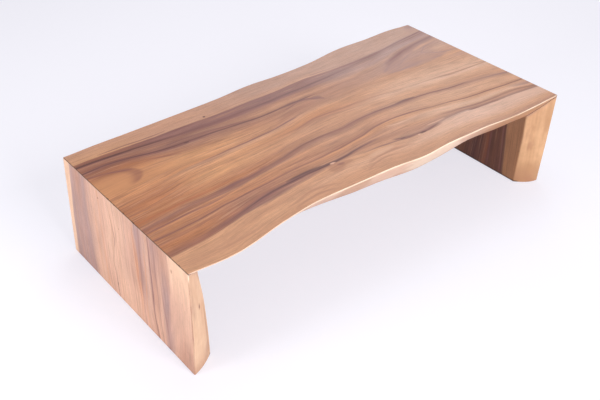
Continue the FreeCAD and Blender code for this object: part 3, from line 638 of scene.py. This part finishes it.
def make_streak_group():
    """A node that lays a streak along a line, with a soft rise in front and a soft fall behind."""
    group = bpy.data.node_groups.new("streak", "ShaderNodeTree")
    for name in ("Colour", "Tone"):
        group.interface.new_socket(name=name, in_out="INPUT", socket_type="NodeSocketColor")
    for name in ("Across", "Line", "Front", "Back", "Strength", "Patchy"):
        group.interface.new_socket(name=name, in_out="INPUT", socket_type="NodeSocketFloat")
    group.interface.new_socket(name="Colour", in_out="OUTPUT", socket_type="NodeSocketColor")
    wires = Wires(group)
    given = group.nodes.new("NodeGroupInput").outputs
    off = wires.minus(given["Across"], given["Line"])
    rise = wires.step(off, wires.times(given["Front"], -1.0), 0.0)
    fall = wires.step(off, 0.0, given["Back"], 1.0, 0.0)
    share = wires.times(rise, fall, given["Strength"], given["Patchy"])
    result = wires.mix(share, given["Colour"], given["Tone"])
    wires.feed(group.nodes.new("NodeGroupOutput").inputs[0], result)
    return group


STREAK_GROUP = make_streak_group()


class Slab:
    """The wood of one slab. Its side is 0 for the top, -1 for the left leg and 1 for the right.

    The figure runs over the mitres: on a leg, "run" is the way down from the ridge, "along" goes
    on from the top's end, and the depth is measured from the outer face. On the top, "run" and
    "along" are both the way along the table.
    """

    def __init__(self, name, side, figure):
        self.side = side
        self.figure = figure
        self.material = bpy.data.materials.new(name)
        self.material.use_nodes = True
        tree = self.material.node_tree
        tree.nodes.clear()
        self.wires = Wires(tree)
        self.find_place()
        self.find_faces()
        self.find_stand()
        colour = self.zones()
        colour = self.grain(colour)
        colour = self.lines(colour)
        colour = self.edges(colour)
        self.finish(colour)

    def find_place(self):
        """Where each point lies in the slab, with the wander that keeps its figure from being even."""
        wires = self.wires
        x, y, z = wires.split(wires.add("ShaderNodeTexCoord", output="Object"))
        below = wires.minus(HEIGHT, z)
        if self.side:
            self.run = below
            self.along = wires.line(below, self.side, HALF_LENGTH * self.side)
            self.depth = wires.line(x, -self.side, HALF_LENGTH)
            self.seam = wires.minus(self.depth, below)
        else:
            self.run = self.along = x
            self.depth = below
            self.seam = wires.minus(wires.minus(HALF_LENGTH, wires.maths("ABSOLUTE", x)), below)
        self.height = z
        lean = wires.line(self.depth, LEAN_SHARE / THICKNESS, 1.0)
        leaning = wires.times(y, lean)
        place = wires.vector(self.along, leaning, self.depth)
        drift = wires.line(wires.noise(place, SCALES["drift"], detail=1.0), 2 * DRIFT, -DRIFT)
        ripple = wires.line(wires.noise(place, SCALES["ripple"]), 2 * RIPPLE, -RIPPLE)
        self.across = wires.plus(leaning, drift, ripple)
        wander = wires.line(wires.noise(place, SCALES["wander"]), 2 * WANDER, -WANDER)
        self.run = wires.plus(self.run, wander)
        ends = (0.0, HEIGHT) if self.side else (-HALF_LENGTH, HALF_LENGTH)
        self.station = wires.range(self.run, *ends)

    def find_faces(self):
        """How much a face is a live edge, an outer arris, or the sawn end of a leg."""
        wires = self.wires
        x, y, z = wires.split(wires.add("ShaderNodeNewGeometry", output="Normal"))
        outward = wires.times(x, self.side) if self.side else z
        self.bark = wires.step(wires.maths("ABSOLUTE", y), *BARK_SLOPES)
        self.arris = wires.times(self.bark, wires.step(outward, *ARRIS_SLOPES))
        upward = z if self.side else wires.maths("ABSOLUTE", x)
        self.ridge = wires.times(wires.step(upward, *RIDGE_SLOPES), wires.step(outward, *RIDGE_SLOPES))

    def find_stand(self):
        """Where each point stands in the figure, from 0 at the front edge to 1 at the back."""
        wires = self.wires
        figure = self.figure
        self.places = {name: self.grain_line(self.station, row) for name, row in figure["lines"].items()}
        places = list(self.places.values())
        shares = figure["shares"]
        stand = shares[0]
        for low, high, start, end in zip(places, places[1:], shares, shares[1:]):
            stand = wires.plus(wires.range(self.across, low, high, 0.0, end - start), stand)
        self.stand = stand
        self.figure_place = wires.vector(self.along, self.stand, self.depth)

    def grain_line(self, share, row):
        """How far across the table a grain line lies, in metres."""
        shares = [(place * MM + REACH) / (2 * REACH) for place in row]
        return self.wires.line(self.wires.curve(share, shares), 2 * REACH, -REACH)

    def zones(self):
        """The broad colours across the slab, each row of them taking over from the one before."""
        wires = self.wires
        sway = wires.line(wires.noise(self.figure_place, SCALES["sway"]), 2 * SWAY, -SWAY)
        stand = wires.plus(self.stand, sway)
        ramps = [wires.ramp(stand, stops) for stops in self.figure["zones"]]
        shares = self.figure["zone_shares"]
        colour = ramps[0]
        for ramp, start, end in zip(ramps[1:], shares, shares[1:]):
            colour = wires.mix(wires.step(self.station, start, end), colour, ramp)
        return colour

    def grain(self, colour):
        """Streaks of every width that follow the figure, and a slow ripple of light and dark."""
        wires = self.wires
        place = self.figure_place
        front, back = self.figure["sap_shares"]
        strength = wires.times(
            wires.curve(self.station, self.figure["grain"]),
            wires.step(self.stand, front, front + SAP_BLEND, SAP_GRAIN, 1.0),
            wires.step(self.stand, back, back + SAP_BLEND, 1.0, SAP_GRAIN),
        )
        for scales, low, high, share, name in GRAIN_LAYERS:
            mask = wires.step(wires.noise(place, scales, 2.0, 0.6), low, high, 0.0, share)
            colour = wires.mix(wires.times(mask, strength), colour, tone(name))
        cloud = wires.range(wires.noise(place, SCALES["cloud"], 3.0, 0.6), *NOISE_SPAN, *CLOUD_LEVELS)
        band = wires.range(wires.noise(place, SCALES["band"], 3.0, 0.6), *NOISE_SPAN, *BAND_LEVELS)
        band = wires.line(band, strength, 1.0)
        # Painted shade: the faces under the table are darker.
        inner_start, inner_end = (THICKNESS - depth for depth in INNER_SHADE_DEPTHS)
        inner = wires.step(self.depth, inner_start, inner_end, 1.0, INNER_SHADE_LEVEL)
        fine = wires.range(wires.noise(place, SCALES["fine"], 3.0, 0.65), *NOISE_SPAN, *FINE_LEVELS)
        pores = wires.step(wires.noise(place, SCALES["pores"], 1.0), *PORE_SPAN, 1.0, PORE_LEVEL)
        level = wires.times(cloud, band, fine, pores, inner)
        return wires.mix(1.0, colour, wires.grey(level), "MULTIPLY")

    def lines(self, colour):
        """The eyes, marks, streaks and spots of the figure, laid one over the other."""
        wires = self.wires
        figure = self.figure
        patchy = wires.noise(self.figure_place, SCALES["patchy"])
        patchy = wires.range(patchy, *NOISE_SPAN, *PATCHY_LEVELS)
        # The renderer has room for few values at a time, so these are worked out after the noise,
        # and with them all the marks, one after the other.
        self.run = wires.line(patchy, 0.0, self.run)
        self.across = wires.line(patchy, 0.0, self.across)
        self.station = wires.line(patchy, 0.0, self.station)
        for start, middle, slope, way, length, width, arm, strengths, name in figure["eyes"]:
            ahead = wires.times(wires.line(self.run, 1.0, -start * MM), way / (length * MM))
            centre = wires.line(ahead, -slope * length * MM, middle * MM)
            aside = wires.times(wires.minus(self.across, centre), 1 / (width * MM))
            radius = wires.maths("SQRT", wires.plus(wires.times(ahead, ahead), wires.times(aside, aside)))
            strength = wires.curve(wires.range(radius, 0.0, RIM_SHARE), (*strengths, 0.0))
            back_side = wires.step(aside, *EYE_BACK)
            arm_start, arm_end = (arm + place for place in EYE_ARM)
            arms = wires.maths("MAXIMUM", back_side, wires.step(ahead, arm_start, arm_end))
            mask = wires.times(strength, wires.step(ahead, *EYE_MOUTH), arms, patchy)
            colour = wires.mix(mask, colour, tone(name))
        for start, end, row, strengths, front, back, name in figure["marks"]:
            share = wires.range(self.run, start * MM, end * MM)
            inside = wires.times(
                wires.step(self.run, start * MM - FADE, start * MM),
                wires.step(self.run, end * MM, end * MM + FADE, 1.0, 0.0),
            )
            strength = wires.times(wires.curve(share, strengths), inside)
            colour = self.streak(colour, self.grain_line(share, row), strength, front, back, name, patchy)
        for line_name, strengths, front, back, name in figure["streaks"]:
            strength = wires.curve(self.station, strengths)
            colour = self.streak(colour, self.places[line_name], strength, front, back, name, patchy)
        # The ovals wait for the marks in the same way, and the edges for both.
        self.run = wires.line(colour, 0.0, self.run)
        self.across = wires.line(colour, 0.0, self.across)
        outside = wires.step(self.depth, *SPOT_DEPTHS, 1.0, 0.0)
        for start, across, length, width, strength, name in figure["spots"]:
            mask = self.oval(self.across, start, across, length, width, strength)
            colour = wires.mix(wires.times(mask, outside), colour, tone(name))
        return colour

    def oval(self, aside, start, middle, length, width, strength):
        """The mask of a soft-edged oval, with its long way along the slab."""
        wires = self.wires
        ahead = wires.times(wires.line(self.run, 1.0, -start * MM), 1 / (length * MM))
        aside = wires.times(wires.line(aside, 1.0, -middle * MM), 1 / (width * MM))
        square = wires.plus(wires.times(ahead, ahead), wires.times(aside, aside))
        return wires.step(square, OVAL_RIM, 1.0, strength, 0.0)

    def streak(self, colour, line, strength, front, back, name, patchy):
        """The colour with a streak of a named tone along a line. Its two widths are in millimetres."""
        inputs = {
            "Colour": colour,
            "Tone": tone(name),
            "Across": self.across,
            "Line": line,
            "Front": front * MM,
            "Back": back * MM,
            "Strength": strength,
            "Patchy": patchy,
        }
        return self.wires.add("ShaderNodeGroup", inputs, node_tree=STREAK_GROUP)

    def edges(self, colour):
        """The live edges, pale or dark arrises, ridge, feet and mitre joint, with painted light and
        shade.
        """
        wires = self.wires
        skin = wires.vector(self.along, self.depth, self.across)
        band = wires.range(wires.noise(skin, SCALES["edge_band"], 3.0, 0.6), *NOISE_SPAN)
        cloud = wires.range(wires.noise(skin, SCALES["edge_cloud"], 3.0, 0.6), *MIDDLE_SPAN)
        pale, dull = self.figure["bark"]
        bark = wires.mix(wires.times(wires.plus(band, cloud), 0.5), tone(dull), tone(pale))
        dark = wires.step(wires.noise(skin, SCALES["edge_dark"], 3.0, 0.6), *DARK_SPAN, 0.0, DARK_SHARE)
        bark = wires.mix(dark, bark, tone("light_brown"))
        in_front = wires.step(self.across, *FRONT_HALF, 1.0, 0.0)
        if not self.side:
            # Painted shade: the top's live edge darker towards its right end, more at the front than the
            # back.
            end_shade_share = wires.step(self.run, *SHADED_END_RUN)
            end_shade_share = wires.times(end_shade_share, wires.line(in_front, SHADED_END_FRONT - SHADED_END_BACK, SHADED_END_BACK))
            bark = wires.mix(end_shade_share, bark, tone("shaded_bark"))
        colour = wires.mix(wires.times(self.bark, BARK_COVER), colour, bark)
        for start, depth, length, width, strength, name in self.figure["knots"]:
            mask = self.oval(self.depth, start, depth, length, width, strength)
            colour = wires.mix(wires.times(mask, self.bark, in_front), colour, tone(name))
        uneven = wires.range(wires.noise(skin, SCALES["edge_uneven"]), *MIDDLE_SPAN, 0.5, 1.0)
        if self.side:
            colour = self.leg_arrises_and_highlights(colour, uneven)
            colour = self.feet_shade_and_shadow(colour, cloud)
        else:
            colour = self.brow_highlight(colour, uneven)
        return self.joint(colour, skin, band)

    def leg_arrises_and_highlights(self, colour, uneven):
        """A leg's outer arrises and ridge: a painted highlight at the top, with a dark hairline below."""
        wires = self.wires
        corner = wires.step(self.run, *CORNER_HIGHLIGHT_RUN, CORNER_HIGHLIGHT_SHARE, 0.0)
        hairline = wires.step(self.run, *HAIRLINE_RUN, 0.0, HAIRLINE_SHARE)
        hairline = wires.times(self.arris, uneven, hairline)
        colour = wires.mix(hairline, colour, tone("heart"))
        # Painted highlights at the top of the arris and along the ridge.
        colour = wires.mix(wires.times(self.arris, corner), colour, tone("highlight_cream"))
        return wires.mix(wires.times(self.ridge, RIDGE_HIGHLIGHT_SHARE), colour, tone("highlight_cream"))

    def feet_shade_and_shadow(self, colour, cloud):
        """Painted shade on the live edges near the floor, and a painted shadow where the inner side meets
        it.
        """
        wires = self.wires
        # Painted shade, darker towards the floor on the live edges.
        foot_shade = wires.times(self.bark, cloud, wires.step(self.height, 0.0, FOOT_SHADE_HEIGHT, FOOT_SHADE_SHARE, 0.0))
        colour = wires.mix(foot_shade, colour, tone("light_brown"))
        # A painted contact shadow along the foot of the inner side.
        line = wires.step(self.height, *FOOT_SHADOW_HEIGHTS, FOOT_SHADOW_SHARE, 0.0)
        line = wires.times(line, wires.step(self.depth, *FOOT_SHADOW_DEPTHS))
        return wires.mix(line, colour, tone("ink"))

    def brow_highlight(self, colour, uneven):
        """The top's outer arris, paler wood with a painted highlight, more so from the left to the right.
        """
        wires = self.wires
        rightwards = wires.step(self.run, *BROW_RUN, *BROW_LEVELS)
        brow_highlight = wires.times(self.bark, wires.step(self.depth, *BROW_DEPTHS, BROW_SHARE, 0.0))
        pale = wires.maths("MAXIMUM", self.arris, brow_highlight)
        # Paler wood with a painted highlight along the arris and the band under it.
        return wires.mix(wires.times(pale, uneven, rightwards), colour, tone("highlight_cream"))

    def joint(self, colour, skin, band):
        """The line of the mitre joint, with a smear of glue on the live edges."""
        wires = self.wires
        nicks = wires.step(wires.noise(skin, SCALES["edge_nicks"], 1.0), *NICK_SPAN, 0.0, NICK_DEPTH)
        seam = wires.minus(wires.maths("ABSOLUTE", self.seam), nicks)
        smear = wires.times(wires.step(seam, *SMEAR_REACH, SMEAR_SHARE, 0.0), self.bark, band)
        colour = wires.mix(smear, colour, tone("mauve"))
        return wires.mix(wires.step(seam, *JOINT_REACH, JOINT_SHARE, 0.0), colour, tone("glue"))

    def turned(self, along, across, depth):
        """Scales along the slab, across it and through it, put in the order of the axes."""
        return (depth, across, along) if self.side else (along, across, depth)

    def finish(self, colour):
        """The oiled surface, with open grain and pores that can be felt."""
        wires = self.wires
        shader = wires.tree.nodes.new("ShaderNodeBsdfPrincipled")
        shader.inputs["IOR"].default_value = OIL_IOR
        rough = wires.noise(self.figure_place, SCALES["gloss"])
        solid = wires.add("ShaderNodeTexCoord", output="Object")
        grain = wires.noise(solid, self.turned(*SCALES["bump_grain"]), 3.0, 0.65)
        pores = wires.noise(solid, self.turned(*SCALES["bump_pores"]), 1.0)
        pores = wires.step(pores, *BUMP_PORE_SPAN)
        height = wires.plus(wires.times(grain, BUMP_GRAIN), wires.times(pores, BUMP_PORES))
        bump = {"Strength": BUMP_STRENGTH, "Distance": BUMP_DISTANCE, "Height": height}
        normal = wires.add("ShaderNodeBump", bump)
        wires.feed(shader.inputs["Base Color"], colour)
        wires.feed(shader.inputs["Roughness"], wires.range(rough, *NOISE_SPAN, *ROUGHNESS))
        wires.feed(shader.inputs["Normal"], normal)
        output = wires.tree.nodes.new("ShaderNodeOutputMaterial")
        wires.feed(output.inputs["Surface"], shader.outputs[0])


# The tenons' streaks and roughness.
TENON_SCALES = (120.0, 30.0, 120.0)
TENON_ROUGHNESS = 0.6


def tenon_wood():
    """Plain sawn wood with fine streaks, for the tenons in the joints."""
    material = bpy.data.materials.new("tenon_wood_finish")
    material.use_nodes = True
    tree = material.node_tree
    tree.nodes.clear()
    wires = Wires(tree)
    place = wires.add("ShaderNodeTexCoord", output="Object")
    streaks = wires.range(wires.noise(place, TENON_SCALES, 4.0, 0.6), *NOISE_SPAN)
    colour = wires.mix(streaks, tone("tenon"), tone("tenon_dark"))
    shader = tree.nodes.new("ShaderNodeBsdfPrincipled")
    wires.feed(shader.inputs["Base Color"], colour)
    shader.inputs["Roughness"].default_value = TENON_ROUGHNESS
    output = tree.nodes.new("ShaderNodeOutputMaterial")
    wires.feed(output.inputs["Surface"], shader.outputs[0])
    return material


def paint(node_name, material):
    """Put a finish on a piece in place of the plain one it came with."""
    for material_slot in nodes[node_name].material_slots:
        material_slot.material = material


def place_camera():
    """The camera at the photograph's viewing angle."""
    camera = bpy.data.objects.new("camera", bpy.data.cameras.new("camera"))
    camera.data.lens = LENS_MM
    camera.data.sensor_width = SENSOR_MM
    turn = Matrix.Rotation(-CAMERA_AZIMUTH, 4, "Z")
    tip = Matrix.Rotation(math.pi / 2 - CAMERA_ELEVATION, 4, "X")
    roll = Matrix.Rotation(CAMERA_ROLL, 4, "Z")
    camera.matrix_world = Matrix.Translation(CAMERA_PLACE) @ turn @ tip @ roll
    bpy.context.scene.collection.objects.link(camera)
    bpy.context.scene.camera = camera


def seen(wires):
    """The share of white background in a ray: all of it for the camera, none of it for light."""
    path = wires.tree.nodes.new("ShaderNodeLightPath")
    return wires.maths("MAXIMUM", path.outputs["Is Camera Ray"], path.outputs["Is Transmission Ray"])


# The floor: half its width and its level in metres, a little under the feet so that no faces
# meet, its colour in the light, and the white that it adds for the camera.
FLOOR_HALF = 15.0
FLOOR_LEVEL = -0.0003
FLOOR_COLOUR = (0.86, 0.85, 0.90, 1.0)
FLOOR_GLOW = (0.925, 0.915, 1.0, 1.0)
FLOOR_GLOW_STRENGTH = 1.22
FLOOR_GLOW_SHARE = 0.50


def lay_floor():
    """A plain pale floor that keeps the table's shadow."""
    half = FLOOR_HALF
    level = FLOOR_LEVEL
    mesh = bpy.data.meshes.new("floor")
    corners = [(-half, -half, level), (half, -half, level), (half, half, level), (-half, half, level)]
    mesh.from_pydata(corners, [], [(0, 1, 2, 3)])
    floor = bpy.data.objects.new("floor", mesh)
    bpy.context.scene.collection.objects.link(floor)
    material = bpy.data.materials.new("floor_finish")
    material.use_nodes = True
    tree = material.node_tree
    tree.nodes.clear()
    wires = Wires(tree)
    diffuse = wires.add("ShaderNodeBsdfDiffuse", {"Color": FLOOR_COLOUR})
    glow = wires.add("ShaderNodeEmission", {"Color": FLOOR_GLOW, "Strength": FLOOR_GLOW_STRENGTH})
    share = wires.times(seen(wires), FLOOR_GLOW_SHARE)
    shader = wires.add("ShaderNodeMixShader", {0: share, 1: diffuse, 2: glow})
    output = tree.nodes.new("ShaderNodeOutputMaterial")
    wires.feed(output.inputs["Surface"], shader)
    mesh.materials.append(material)


# The world: its light on the table, how much brighter reflections see it, and the background.
WORLD_LIGHT = 0.28
WORLD_GLOSS = 0.10
WORLD_WHITE = (1.0, 1.0, 1.0, 1.0)
BACKGROUND = (0.97, 0.97, 1.0, 1.0)


def light_world():
    """A white background for the camera, and a soft even light that reflections see brighter."""
    world = bpy.data.worlds.new("studio")
    bpy.context.scene.world = world
    world.use_nodes = True
    tree = world.node_tree
    tree.nodes.clear()
    wires = Wires(tree)
    path = tree.nodes.new("ShaderNodeLightPath")
    strength = wires.line(path.outputs["Is Glossy Ray"], WORLD_GLOSS, WORLD_LIGHT)
    lamp = wires.add("ShaderNodeBackground", {"Color": WORLD_WHITE, "Strength": strength})
    shown = wires.add("ShaderNodeBackground", {"Color": BACKGROUND, "Strength": 1.0})
    shader = wires.add("ShaderNodeMixShader", {0: seen(wires), 1: lamp, 2: shown})
    output = tree.nodes.new("ShaderNodeOutputWorld")
    wires.feed(output.inputs["Surface"], shader)


# The soft lamps: the place of each, its width in metres, its power in watts, and whether the
# table's gloss mirrors it. One that isn't mirrored leaves no glare on the top.
LAMPS = {
    "front_lamp": ((-0.2, -4.6, 2.8), 2.5, 220.0, False),
    "side_lamp": ((-3.2, 0.1, 0.8), 1.0, 51.0, False),
    "overhead_lamp": ((0.4, 0.5, 2.7), 1.8, 19.0, True),
    "sheen_lamp": ((3.6, 3.4, 1.9), 2.5, 37.0, True),
}
LAMP_TARGET = Vector((0.0, 0.0, 0.2))


def hang_lamp(name, place, size, power, mirrored):
    """A square soft lamp that faces the table."""
    data = bpy.data.lights.new(name, "AREA")
    data.shape = "SQUARE"
    data.size = size
    data.energy = power
    lamp = bpy.data.objects.new(name, data)
    lamp.location = place
    direction = LAMP_TARGET - Vector(place)
    lamp.rotation_euler = direction.to_track_quat("-Z", "Y").to_euler()
    lamp.visible_glossy = mirrored
    bpy.context.scene.collection.objects.link(lamp)


place_camera()
lay_floor()
light_world()
for lamp_name, lamp_facts in LAMPS.items():
    hang_lamp(lamp_name, *lamp_facts)

paint("top_slab", Slab("top_finish", 0, TOP_FIGURE).material)
paint("left_leg", Slab("left_leg_finish", -1, LEFT_LEG_FIGURE).material)
paint("right_leg", Slab("right_leg_finish", 1, RIGHT_LEG_FIGURE).material)
tenon_finish = tenon_wood()
for node_name in nodes:
    if "tenon" in node_name:
        paint(node_name, tenon_finish)

bpy.context.scene.view_settings.view_transform = "Standard"
